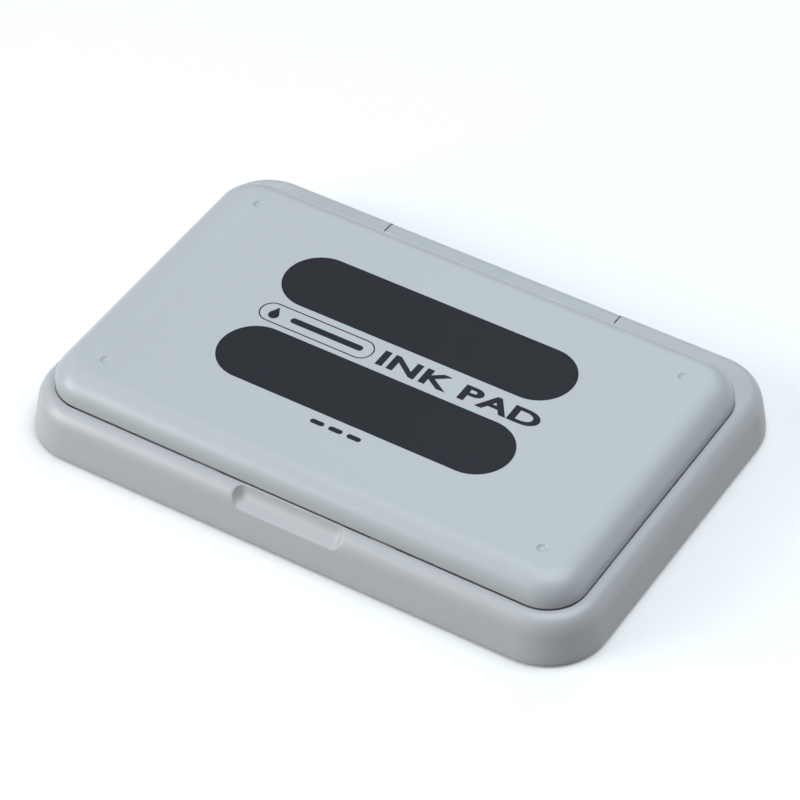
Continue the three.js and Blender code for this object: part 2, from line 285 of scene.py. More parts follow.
class Wiring:
    """Adds and links nodes in one node tree."""

    def __init__(self, tree: bpy.types.NodeTree) -> None:
        """Starts on a tree with nothing in it."""
        self.tree = tree
        self.tree.nodes.clear()

    def add(self, kind: str, **values: object) -> bpy.types.Node:
        """Adds a node.

        Args:
            kind: The node's type name without its ShaderNode prefix.
            **values: Node properties by name, or socket defaults as in_NAME or in_NUMBER.

        Returns:
            The node.
        """
        prefix = "" if kind.startswith("NodeGroup") else "ShaderNode"
        node = self.tree.nodes.new(prefix + kind)
        for name, value in values.items():
            if name.startswith("in_"):
                key = name[3:]
                socket = node.inputs[int(key) if key.isdigit() else key.replace("_", " ")]
                socket.default_value = value
            else:
                setattr(node, name, value)
        return node

    def link(self, source: bpy.types.NodeSocket, target: bpy.types.NodeSocket) -> None:
        """Joins an output to an input."""
        self.tree.links.new(source, target)

    def math(
        self, operation: str, first: object, second: object = 0.0, clamp: bool = False
    ) -> bpy.types.NodeSocket:
        """Adds a math node fed by sockets or numbers and gives its output."""
        node = self.add("Math", operation=operation, use_clamp=clamp)
        for socket, value in zip(node.inputs, (first, second)):
            if isinstance(value, bpy.types.NodeSocket):
                self.link(value, socket)
            else:
                socket.default_value = value
        return node.outputs[0]

    def blend(self, factor: bpy.types.NodeSocket, low: object, high: object) -> bpy.types.NodeSocket:
        """Adds a colour mix between two colours or sockets and gives its output."""
        node = self.add("Mix", data_type="RGBA")
        self.link(factor, node.inputs[0])
        for index, value in ((6, low), (7, high)):
            if isinstance(value, bpy.types.NodeSocket):
                self.link(value, node.inputs[index])
            else:
                node.inputs[index].default_value = value
        return node.outputs[2]


def group_tree(name: str, inputs: dict[str, float], outputs: tuple[str, ...]) -> tuple[Wiring, dict, dict]:
    """Makes an empty shader group with named number sockets.

    Args:
        name: The group's name.
        inputs: Input names with their default values.
        outputs: Output names.

    Returns:
        The wiring, the group's inputs by name and its outputs by name.
    """
    tree = bpy.data.node_groups.new(name, "ShaderNodeTree")
    for key, value in inputs.items():
        socket = tree.interface.new_socket(key, in_out="INPUT", socket_type="NodeSocketFloat")
        socket.default_value = value
    for key in outputs:
        tree.interface.new_socket(key, in_out="OUTPUT", socket_type="NodeSocketFloat")
    wiring = Wiring(tree)
    entry, leave = wiring.add("NodeGroupInput"), wiring.add("NodeGroupOutput")
    return wiring, {s.name: s for s in entry.outputs}, {s.name: s for s in leave.inputs}


class Effects:
    """Surface effects that more than one finish wears. Each group is built once, when first used."""

    def __init__(self) -> None:
        """Starts with no group built."""
        self.built: dict[str, bpy.types.NodeTree] = {}

    def place(self, wiring: Wiring, name: str, **values: float) -> bpy.types.Node:
        """Places an effect in a material.

        Args:
            wiring: The material's wiring.
            name: The effect's name, which is one of this class's methods.
            **values: The effect's inputs, with underscores for spaces.

        Returns:
            The group node.
        """
        if name not in self.built:
            self.built[name] = getattr(self, name)()
        node = wiring.add("Group", node_tree=self.built[name])
        for key, value in values.items():
            node.inputs[key.replace("_", " ")].default_value = value
        return node

    def grain(self) -> bpy.types.NodeTree:
        """Fine spark-eroded texture of a moulded surface, with a slower unevenness under it."""
        wiring, given, made = group_tree("moulded grain", {"Scale": 2600.0}, ("Height", "Drift"))
        place_on = wiring.add("TexCoord").outputs["Object"]
        fine = wiring.add("TexNoise", in_Detail=3.0, in_Roughness=0.6)
        slow = wiring.add("TexNoise", in_Scale=34.0, in_Detail=2.0)
        for texture in (fine, slow):
            wiring.link(place_on, texture.inputs["Vector"])
        wiring.link(given["Scale"], fine.inputs["Scale"])
        wiring.link(fine.outputs["Fac"], made["Height"])
        wiring.link(slow.outputs["Fac"], made["Drift"])
        return wiring.tree

    def edges(self) -> bpy.types.NodeTree:
        """Where edges stand out, for a painted highlight along them, broken up by noise."""
        wiring, given, made = group_tree("painted edge highlight", {"Sharpness": 7.0}, ("Mask",))
        point = wiring.add("NewGeometry").outputs["Pointiness"]
        raised = wiring.math("SUBTRACT", point, 0.515)
        scaled = wiring.math("MULTIPLY", raised, given["Sharpness"], clamp=True)
        # Noise that breaks up the painted edge highlight.
        edge_highlight_breakup = wiring.add("TexNoise", in_Scale=420.0, in_Detail=4.0, in_Roughness=0.7)
        wiring.link(wiring.add("TexCoord").outputs["Object"], edge_highlight_breakup.inputs["Vector"])
        wiring.link(wiring.math("MULTIPLY", scaled, edge_highlight_breakup.outputs["Fac"], clamp=True), made["Mask"])
        return wiring.tree

    def handling(self) -> bpy.types.NodeTree:
        """Faint smudges from fingers and specks of dust."""
        wiring, given, made = group_tree(
            "handling", {"Smudge Scale": 60.0, "Dust Scale": 900.0}, ("Smudge", "Dust")
        )
        place_on = wiring.add("TexCoord").outputs["Object"]
        smudge = wiring.add("TexNoise", in_Detail=5.0, in_Roughness=0.62, in_Distortion=0.8)
        dust = wiring.add("TexVoronoi", feature="F1")
        for texture, key in ((smudge, "Smudge Scale"), (dust, "Dust Scale")):
            wiring.link(place_on, texture.inputs["Vector"])
            wiring.link(given[key], texture.inputs["Scale"])
        rare = wiring.math("LESS_THAN", dust.outputs["Distance"], 0.07)
        chosen = wiring.math("GREATER_THAN", dust.outputs["Color"], 0.72)
        wiring.link(smudge.outputs["Fac"], made["Smudge"])
        wiring.link(wiring.math("MULTIPLY", rare, chosen), made["Dust"])
        return wiring.tree

    def weave(self) -> bpy.types.NodeTree:
        """Plain weave seen from above: threads along X and Y that pass over each other in turn, with a
        painted shade that is darker in the low places between them.
        """
        wiring, given, made = group_tree("plain weave", {"Threads": 2400.0}, ("Height", "Shade"))
        axes = wiring.add("SeparateXYZ")
        wiring.link(wiring.add("TexCoord").outputs["Object"], axes.inputs[0])
        half_turns = wiring.math("MULTIPLY", given["Threads"], math.pi)
        along = wiring.math("MULTIPLY", axes.outputs["X"], half_turns)
        across = wiring.math("MULTIPLY", axes.outputs["Y"], half_turns)
        warp = wiring.math("ABSOLUTE", wiring.math("SINE", along))
        weft = wiring.math("ABSOLUTE", wiring.math("SINE", across))
        cross = wiring.math("MULTIPLY", wiring.math("SINE", along), wiring.math("SINE", across))
        over = wiring.math("MULTIPLY_ADD", cross, 0.5)
        over.node.inputs[2].default_value = 0.5
        under = wiring.math("SUBTRACT", 1.0, over)
        high = wiring.math("MULTIPLY", warp, over)
        low = wiring.math("MULTIPLY", weft, under)
        height = wiring.math("ADD", high, low)
        wiring.link(height, made["Height"])
        # Shade follows the height: the raised threads lighter, the gaps between them darker, as painted
        # shade.
        wiring.link(wiring.math("POWER", height, 0.7), made["Shade"])
        return wiring.tree

    def fibres(self) -> bpy.types.NodeTree:
        """Short tangled fibres of pressed felt."""
        wiring, given, made = group_tree("felt fibres", {"Scale": 900.0}, ("Height", "Shade"))
        place_on = wiring.add("TexCoord").outputs["Object"]
        tangle = wiring.add("TexNoise", in_Detail=6.0, in_Roughness=0.75, in_Distortion=2.5)
        clumps = wiring.add("TexNoise", in_Scale=160.0, in_Detail=3.0)
        for texture in (tangle, clumps):
            wiring.link(place_on, texture.inputs["Vector"])
        wiring.link(given["Scale"], tangle.inputs["Scale"])
        wiring.link(wiring.math("ADD", tangle.outputs["Fac"], clumps.outputs["Fac"]), made["Height"])
        wiring.link(tangle.outputs["Fac"], made["Shade"])
        return wiring.tree


EFFECTS = Effects()


# ---- Finishes -----------------------------------------------------------------------------------


Colour = tuple[float, float, float]


def shade(colour: Colour, factor: float) -> tuple[float, float, float, float]:
    """A colour made lighter or darker, with full alpha."""
    return (*(min(channel * factor, 1.0) for channel in colour), 1.0)


@dataclass(frozen=True)
class Finish:
    """What every finish has: a name, a colour, a roughness and a way to make its material."""

    name: str
    colour: Colour
    roughness: float

    def start(self) -> tuple[bpy.types.Material, Wiring, bpy.types.Node]:
        """Makes an empty material with a shader on its output.

        Returns:
            The material, its wiring and the shader node.
        """
        made = bpy.data.materials.new(self.name)
        made.use_nodes = True
        wiring = Wiring(made.node_tree)
        shader, leave = wiring.add("BsdfPrincipled"), wiring.add("OutputMaterial")
        wiring.link(shader.outputs[0], leave.inputs["Surface"])
        return made, wiring, shader

    def material(self) -> bpy.types.Material:
        """The finish's material, made once."""
        return bpy.data.materials.get(self.name) or self.make()

    def make(self) -> bpy.types.Material:
        """Builds the material."""
        raise NotImplementedError

    def vary_roughness(
        self, wiring: Wiring, shader: bpy.types.Node, mask: bpy.types.NodeSocket, span: float
    ) -> None:
        """Feeds the shader's roughness from a mask, centred on this finish's own value."""
        low = self.roughness - span / 2
        scaled = wiring.math("MULTIPLY", mask, span)
        wiring.link(wiring.math("ADD", scaled, low, clamp=True), shader.inputs["Roughness"])

    def bump(
        self,
        wiring: Wiring,
        shader: bpy.types.Node,
        height: bpy.types.NodeSocket,
        depth: float,
        strength: float,
    ) -> None:
        """Raises the surface by a height socket, to a depth in millimetres."""
        node = wiring.add("Bump", in_Strength=strength, in_Distance=depth * MM)
        wiring.link(height, node.inputs["Height"])
        wiring.link(node.outputs["Normal"], shader.inputs["Normal"])


@dataclass(frozen=True)
class MouldedPlastic(Finish):
    """Injection-moulded plastic with a fine texture, a painted highlight along its edges and faint handling
    marks.
    """

    grain_scale: float = 2600.0
    grain_depth: float = 0.012
    grain_strength: float = 0.35
    edge_highlight_lift: float = 1.07

    def make(self) -> bpy.types.Material:
        """Builds the material."""
        made, wiring, shader = self.start()
        grain = EFFECTS.place(wiring, "grain", Scale=self.grain_scale)
        edges = EFFECTS.place(wiring, "edges")
        handling = EFFECTS.place(wiring, "handling")
        body = wiring.blend(grain.outputs["Drift"], shade(self.colour, 0.985), shade(self.colour, 1.015))
        # Edges that stand out are painted lighter: a painted highlight.
        with_edge_highlight = wiring.blend(edges.outputs["Mask"], body, shade(self.colour, self.edge_highlight_lift))
        dusty = wiring.math("MULTIPLY", handling.outputs["Dust"], 0.18)
        wiring.link(wiring.blend(dusty, with_edge_highlight, (0.82, 0.82, 0.8, 1.0)), shader.inputs["Base Color"])
        self.vary_roughness(wiring, shader, handling.outputs["Smudge"], 0.1)
        self.bump(wiring, shader, grain.outputs["Height"], self.grain_depth, self.grain_strength)
        shader.inputs["IOR"].default_value = 1.5
        return made


@dataclass(frozen=True)
class PrintedInk(Finish):
    """Screen-printed ink: dense, slightly uneven, with pinholes near the grain's peaks."""

    def make(self) -> bpy.types.Material:
        """Builds the material."""
        made, wiring, shader = self.start()
        grain = EFFECTS.place(wiring, "grain", Scale=3400.0)
        handling = EFFECTS.place(wiring, "handling", Dust_Scale=1300.0)
        body = wiring.blend(grain.outputs["Drift"], shade(self.colour, 0.93), shade(self.colour, 1.07))
        specks = wiring.math("MULTIPLY", handling.outputs["Dust"], 0.12)
        wiring.link(wiring.blend(specks, body, (0.3, 0.3, 0.3, 1.0)), shader.inputs["Base Color"])
        self.vary_roughness(wiring, shader, handling.outputs["Smudge"], 0.12)
        self.bump(wiring, shader, grain.outputs["Height"], 0.008, 0.4)
        shader.inputs["Specular IOR Level"].default_value = 0.28
        return made


@dataclass(frozen=True)
class InkedCloth(Finish):
    """Fine plain-weave cotton, soaked with ink and a little wet, with painted shade between its threads."""

    threads: float = 1500.0

    def make(self) -> bpy.types.Material:
        """Builds the material."""
        made, wiring, shader = self.start()
        weave = EFFECTS.place(wiring, "weave", Threads=self.threads)
        handling = EFFECTS.place(wiring, "handling", Smudge_Scale=38.0)
        # The weave's shade paints the gaps between threads darker: painted shade.
        weave_shaded = wiring.blend(weave.outputs["Shade"], shade(self.colour, 0.45), shade(self.colour, 1.5))
        pooled = wiring.math("MULTIPLY", handling.outputs["Smudge"], 0.45)
        wiring.link(wiring.blend(pooled, weave_shaded, shade(self.colour, 0.55)), shader.inputs["Base Color"])
        self.vary_roughness(wiring, shader, handling.outputs["Smudge"], 0.35)
        self.bump(wiring, shader, weave.outputs["Height"], 0.12, 0.8)
        shader.inputs["Sheen Weight"].default_value = 0.08
        return made


@dataclass(frozen=True)
class PressedFelt(Finish):
    """Dense pressed felt."""

    fibre_scale: float = 900.0

    def make(self) -> bpy.types.Material:
        """Builds the material."""
        made, wiring, shader = self.start()
        fibres = EFFECTS.place(wiring, "fibres", Scale=self.fibre_scale)
        tone = wiring.blend(fibres.outputs["Shade"], shade(self.colour, 0.6), shade(self.colour, 1.35))
        wiring.link(tone, shader.inputs["Base Color"])
        self.vary_roughness(wiring, shader, fibres.outputs["Shade"], 0.1)
        self.bump(wiring, shader, fibres.outputs["Height"], 0.2, 0.7)
        shader.inputs["Sheen Weight"].default_value = 0.15
        return made


@dataclass(frozen=True)
class DrawnSteel(Finish):
    """Bright drawn wire with marks along its length."""

    def make(self) -> bpy.types.Material:
        """Builds the material."""
        made, wiring, shader = self.start()
        stretch = wiring.add("Mapping")
        stretch.inputs["Scale"].default_value = (60.0, 4000.0, 4000.0)
        lines = wiring.add("TexNoise", in_Scale=1.0, in_Detail=3.0)
        wiring.link(wiring.add("TexCoord").outputs["Object"], stretch.inputs["Vector"])
        wiring.link(stretch.outputs["Vector"], lines.inputs["Vector"])
        tone = wiring.blend(lines.outputs["Fac"], shade(self.colour, 0.9), shade(self.colour, 1.08))
        wiring.link(tone, shader.inputs["Base Color"])
        self.vary_roughness(wiring, shader, lines.outputs["Fac"], 0.15)
        self.bump(wiring, shader, lines.outputs["Fac"], 0.01, 0.3)
        shader.inputs["Metallic"].default_value = 1.0
        return made


CASE_GREY = MouldedPlastic("case_grey_plastic", (0.47, 0.48, 0.495), 0.34)
LID_GREY = MouldedPlastic("lid_grey_plastic", (0.455, 0.481, 0.502), 0.34)
INNER_GREY = MouldedPlastic("inner_grey_plastic", (0.33, 0.34, 0.36), 0.42, grain_depth=0.016)
PRINT_BLACK = PrintedInk("print_black", (0.012, 0.014, 0.019), 0.55)
PAD_CLOTH = InkedCloth("inked_cotton", (0.012, 0.012, 0.016), 0.55)
FACE_FELT = PressedFelt("inked_face_felt", (0.018, 0.018, 0.022), 0.8)
RESERVOIR_FELT = PressedFelt("reservoir_felt_grey", (0.05, 0.05, 0.056), 0.85, fibre_scale=620.0)
PIN_STEEL = DrawnSteel("drawn_steel", (0.6, 0.61, 0.63), 0.28)


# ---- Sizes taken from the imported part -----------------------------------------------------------


@dataclass(frozen=True)
class Gauge:
    """The case's main outlines and heights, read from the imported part, in millimetres."""

    rim_side: float = 5.08
    rim_front: float = 4.86
    rim_rear: float = 10.25
    case_corner: float = 14.4
    rim_corner: float = 9.4
    edge_gap: float = 0.1
    lift: float = 0.3
    ledge_depth: float = 1.9
    ledge_width: float = 2.6
    underside: float = 0.5

    @staticmethod
    def span(node: str) -> tuple[np.ndarray, np.ndarray]:
        """A node's lowest and highest corner in millimetres."""
        low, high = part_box(node)
        return np.array(low) / MM, np.array(high) / MM

    @property
    def case(self) -> Outline:
        """The case's outside at its lower edge."""
        low, high = self.span("base_case")
        return Outline(high[0], low[1], high[1], self.case_corner)

    @property
    def rim_edge(self) -> Outline:
        """The rim's inner edge, which the lid's edge follows."""
        case = self.case
        half_x, front = case.half_x - self.rim_side, case.front + self.rim_front
        return Outline(half_x, front, case.rear - self.rim_rear, self.rim_corner)

    @property
    def lid(self) -> Outline:
        """The lid's outside."""
        return self.rim_edge.inset(self.edge_gap)

    @property
    def well(self) -> Outline:
        """The well that the pad sits in, below the lid's channel."""
        return self.rim_edge.inset(self.ledge_width)

    @property
    def rim_top(self) -> float:
        """Height of the rim's inner edge."""
        return float(self.span("base_case")[1][2])

    @property
    def lid_top(self) -> float:
        """Height of the lid's flat top."""
        return float(self.span("lid_shell")[1][2])

    @property
    def ledge(self) -> float:
        """Height of the channel's floor."""
        return self.rim_top - self.ledge_depth

    @property
    def hinge(self) -> tuple[float, float]:
        """Where the hinge line is, in Y and Z."""
        joint = next(j for j in FRAME["joints"] if j["name"] == "lid_hinge")
        return joint["pos_m"][1] / MM, joint["pos_m"][2] / MM


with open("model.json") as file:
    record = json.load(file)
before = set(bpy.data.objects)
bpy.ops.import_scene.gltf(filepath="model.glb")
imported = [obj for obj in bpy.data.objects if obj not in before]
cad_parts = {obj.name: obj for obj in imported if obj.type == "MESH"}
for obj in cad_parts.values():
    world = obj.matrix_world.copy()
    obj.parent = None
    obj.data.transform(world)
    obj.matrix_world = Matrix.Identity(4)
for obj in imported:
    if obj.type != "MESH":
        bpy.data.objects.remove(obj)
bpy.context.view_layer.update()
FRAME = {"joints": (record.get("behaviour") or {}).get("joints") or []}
GAUGE = Gauge()


# ---- Hinge, shared by the case and the lid ------------------------------------------------------


@dataclass(frozen=True)
class Hinge:
    """Sizes of the lid's tongue, its barrel and the slot that they lie in."""

    tongue_width: float = 59.4
    slit: float = 0.4
    flare: float = 0.6
    ear_round: float = 1.5
    barrel_radius: float = 2.75
    barrel_gap: float = 0.3
    neck_gap: float = 0.3
    pin_radius: float = 0.8
    pin_bore: float = 4.3
    press_clearance: float = 0.03
    run_clearance: float = 0.07
    pin_chamfer: float = 0.15

    @property
    def half(self) -> float:
        """Half of the tongue's width."""
        return self.tongue_width / 2

    @property
    def slot_floor(self) -> float:
        """Height of the slot's floor under the barrel."""
        return GAUGE.hinge[1] - self.barrel_radius - self.barrel_gap

    @staticmethod
    def flared(
        half: float, flare: float, root: float, inner: float, outer: float
    ) -> list[tuple[float, float]]:
        """Plan of a straight tongue or slot with a fillet on each side of its root.

        Args:
            half: Half width of the straight part.
            flare: Fillet radius.
            root: Y where the fillets start.
            inner: Y of the closed end, inside the root.
            outer: Y of the far end.

        Returns:
            The plan's points, counter-clockwise.
        """
        turns = np.linspace(0, 0.5 * math.pi, 9)
        right = [(half + flare - flare * math.sin(a), root + flare - flare * math.cos(a)) for a in turns]
        left = [(-x, y) for x, y in reversed(right)]
        ends = [(half, outer), (-half, outer)]
        return [(-half - flare, inner), (half + flare, inner), *right, *ends, *left]

    def rod(
        self, name: str, radius: float, start: float, end: float, chamfer: float = 0.0
    ) -> bpy.types.Object:
        """A rod along X on the hinge line.

        Args:
            name: The rod's name.
            radius: Its radius.
            start: X of one end.
            end: X of the other.
            chamfer: Size of the chamfer at both ends; 0 leaves them square.

        Returns:
            The rod.
        """
        low, high = min(start, end), max(start, end)
        profile = [(radius, low + chamfer), (radius, high - chamfer)]
        if chamfer > 0:
            profile = [(radius - chamfer, low), *profile, (radius - chamfer, high)]
        made = turned(name, profile, sides=48)
        y, z = GAUGE.hinge
        return place(made, Matrix.Translation((0, y * MM, z * MM)) @ Matrix.Rotation(0.5 * math.pi, 4, "Y"))


HINGE = Hinge()


# ---- Case ---------------------------------------------------------------------------------------


@dataclass(frozen=True)
class CaseBase:
    """The moulded case: outer wall, rounded rim, finger notch, lid channel, well and underside."""

    edge_chamfer: float = 0.5
    wall_height: float = 7.2
    wall_draft: float = 1.0
    round_in: float = 3.6
    round_up: float = 4.45
    outer_wall: float = 1.8
    well_wall: float = 1.5
    floor: float = 1.6
    core_roof: float = 1.7
    rib: float = 1.2
    ribs_x: int = 7
    ribs_y: int = 4
    notch_width: float = 27.6
    notch_drop: float = 4.1
    notch_land: float = 0.3
    notch_end_lean: float = 0.55
    notch_corner_power: float = 2.7
    notch_lip: float = 0.7
    catch_x: float = 22.0
    catch_length: float = 6.0
    catch_height: float = 0.5
    catch_reach: float = 0.45
    catch_low: float = 11.55
    pip_radius: float = 0.95
    pip_taper: float = 0.85

    @property
    def wall_top(self) -> float:
        """Height where the straight wall ends."""
        return GAUGE.underside + self.wall_height

    def outside(self, back: float = 0.0, band_steps: int = 4) -> list[np.ndarray]:
        """Profile stations from the lower edge up over the rim to its inner edge.

        Args:
            back: How far to stand back from the real surface.
            band_steps: Rows across the rim band.

        Returns:
            The stations.
        """
        shell = GAUGE.case.inset(back)
        low = GAUGE.underside
        foot = softened(
            [shell.inset(self.edge_chamfer + 1).at(low), shell.inset(self.edge_chamfer).at(low),
             shell.at(low + self.edge_chamfer), shell.inset(0.2).at(low + 2.5)],
            [0, 0.3, 0.3, 0],
        )
        top = shell.inset(self.wall_draft).at(self.wall_top - back)
        wall = between(foot[-1], top, 18)
        pull, lean = 0.5523, self.wall_draft / self.wall_height
        curl = []
        for t in np.linspace(0, 1, 25):
            rise = 3 * (1 - t) ** 2 * t * pull + 3 * (1 - t) * t**2 + t**3
            reach = 3 * (1 - t) ** 2 * t * pull * lean * self.round_up
            reach += (3 * (1 - t) * t**2 * (1 - pull) + t**3) * self.round_in
            curl.append(shell.inset(self.wall_draft + reach).at(self.wall_top - back + self.round_up * rise))
        edge = GAUGE.rim_edge.at(GAUGE.rim_top - back)
        return [*foot, *wall, *curl, *between(curl[-1], edge, band_steps), edge]

    def notch_level(self, points: np.ndarray) -> np.ndarray:
        """How far points are inside (negative) or outside the finger notch, as a level value."""
        case, back = GAUGE.case, GAUGE.rim_edge.front - self.notch_land
        reach = back - case.front
        lean = self.notch_end_lean * reach
        across = np.maximum(np.abs(points[:, 0]) - (self.notch_width / 2 - lean), 0) / lean
        inward = np.maximum(points[:, 1] - case.front, 0) / reach
        down = np.maximum(GAUGE.rim_top - points[:, 2], 0) / self.notch_drop
        power = self.notch_corner_power
        return (across**power + inward**power) ** (2 / power) + down**2 - 1

    def notch_slope(self, points: np.ndarray) -> np.ndarray:
        """The gradient of the notch's level at each point."""
        step = 0.005
        moves = np.eye(3) * step
        return np.stack(
            [(self.notch_level(points + m) - self.notch_level(points - m)) / (2 * step) for m in moves],
            axis=1,
        )

    def scooped(self, points: np.ndarray) -> np.ndarray:
        """Moves the points that lie in the finger notch onto its surface, with a soft lip."""
        made = points.copy()
        near = (np.abs(points[:, 0]) < self.notch_width) & (points[:, 1] < 0)
        near &= points[:, 2] > self.notch_drop
        some = points[near]
        slope = self.notch_slope(some)
        size = np.maximum(np.linalg.norm(slope, axis=1), 1e-6)
        depth = -self.notch_level(some) / size
        lip = self.notch_lip
        soft = np.where(depth > -lip, (depth + lip) ** 2 / (4 * lip), 0.0)[:, None]
        eased = some + slope / size[:, None] * soft
        seated = some.copy()
        for _ in range(12):
            slope = self.notch_slope(seated)
            square = np.maximum((slope**2).sum(axis=1), 1e-9)
            seated -= slope * (self.notch_level(seated) / square)[:, None]
        made[near] = np.where((depth < lip)[:, None], eased, seated)
        return made

    def tub(self) -> bpy.types.Object:
        """The case's outside, channel and well as one skin."""
        edge, well = GAUGE.rim_edge, GAUGE.well
        ledge, deep = GAUGE.ledge, GAUGE.underside + self.floor
        outside = self.outside()
        inside = softened(
            [outside[-2], edge.at(GAUGE.rim_top), edge.at(ledge), well.at(ledge), well.at(deep),
             well.inset(3).at(deep)],
            [0, 0.28, 0.3, 0.3, 0.4, 0],
            steps=6,
        )
        fine = tuple(np.arange(-17, 17.01, 0.25))
        columns = Columns(
            front_x=(-50.0, -36.0, -24.0, *fine, 24.0, 36.0, 50.0),
            rear_x=(-50.0, -36.0, 36.0, 50.0),
            side_y=(-24.0, -8.0, 8.0, 24.0),
        )
        rings = [columns.ring(s) for s in [*outside[:-1], *inside[1:]]]
        count = len(rings[0])
        points = self.scooped(np.vstack(rings))
        return skin("case_base", [points[i : i + count] for i in range(0, len(points), count)])

    def hollow(self) -> bpy.types.Object:
        """The hollow under the rim, open below, with ribs left across it."""
        case, well = GAUGE.case, GAUGE.well
        outer, inner = case.inset(self.outer_wall), well.inset(-self.well_wall)
        roof, below = GAUGE.ledge - self.core_roof, GAUGE.underside - 1
        columns = Columns(corner_steps=16)
        stations = [outer.at(below), outer.inset(self.wall_draft).at(roof), inner.at(roof), inner.at(below)]
        ring = skin("hollow", [columns.ring(s) for s in stations], joined=True)
        top, half, margin = roof + 1, self.rib / 2, GAUGE.case_corner
        low_z = below - 1
        for x in np.linspace(margin - case.half_x, case.half_x - margin, self.ribs_x):
            shape(ring, block("rib", (x - half, case.front, low_z), (x + half, case.rear, top)), Cut.AWAY)
        for y in np.linspace(case.front + margin, case.rear - margin, self.ribs_y):
            shape(ring, block("rib", (-case.half_x, y - half, low_z), (case.half_x, y + half, top)), Cut.AWAY)
        ears = HINGE.half + HINGE.slit + 6
        over_notch = self.notch_width / 2 + self.well_wall
        keep = [
            block("ears", (-ears, well.rear, HINGE.slot_floor - self.floor), (ears, case.rear, top)),
            block("scoop", (-over_notch, case.front, GAUGE.rim_top - self.notch_drop - self.floor),
                  (over_notch, well.front, top)),
        ]
        for tool in keep:
            shape(ring, tool, Cut.AWAY)
        return ring

    def build(self) -> bpy.types.Object:
        """Builds, dresses and seats the case."""
        made = self.tub()
        shape(made, self.hollow(), Cut.AWAY)
        case, edge = GAUGE.case, GAUGE.rim_edge
        plan = HINGE.flared(
            HINGE.half + HINGE.slit, HINGE.ear_round, edge.rear, edge.rear - HINGE.barrel_gap, case.rear + 1
        )
        shape(made, prism("slot", plan, HINGE.slot_floor, GAUGE.rim_top + 1), Cut.AWAY)
        start = HINGE.half + HINGE.slit
        for side in (-1, 1):
            bore = HINGE.rod(
                "bore",
                HINGE.pin_radius + HINGE.press_clearance,
                side * (start - 1),
                side * (start + HINGE.pin_bore),
            )
            shape(made, bore, Cut.AWAY)
            x = side * self.catch_x
            low = (x - self.catch_length / 2, edge.front - 0.3, self.catch_low)
            high = (
                x + self.catch_length / 2, edge.front + self.catch_reach, self.catch_low + self.catch_height
            )
            shape(made, block("bump", low, high), Cut.JOIN)
        for x, y in stacking_spots():
            radius = self.pip_radius
            pip = turned("pip", [(radius * 0.6, 0.0), (radius * self.pip_taper, 0.12), (radius, 1.3)])
            shape(made, place(pip, Matrix.Translation((x * MM, y * MM, 0))), Cut.JOIN)
        return seat(smooth(made), "base", CASE_GREY, ("base_case",))


def stacking_spots() -> list[tuple[float, float]]:
    """Plan places of the lid's dimples and of the pips under them, in millimetres."""
    lid = GAUGE.lid
    side, front, rear = lid.half_x - 11.1, lid.front + 10.3, lid.rear - 10.3
    return [(x, y) for x in (-side, side) for y in (front, rear)]


# ---- Lid ----------------------------------------------------------------------------------------


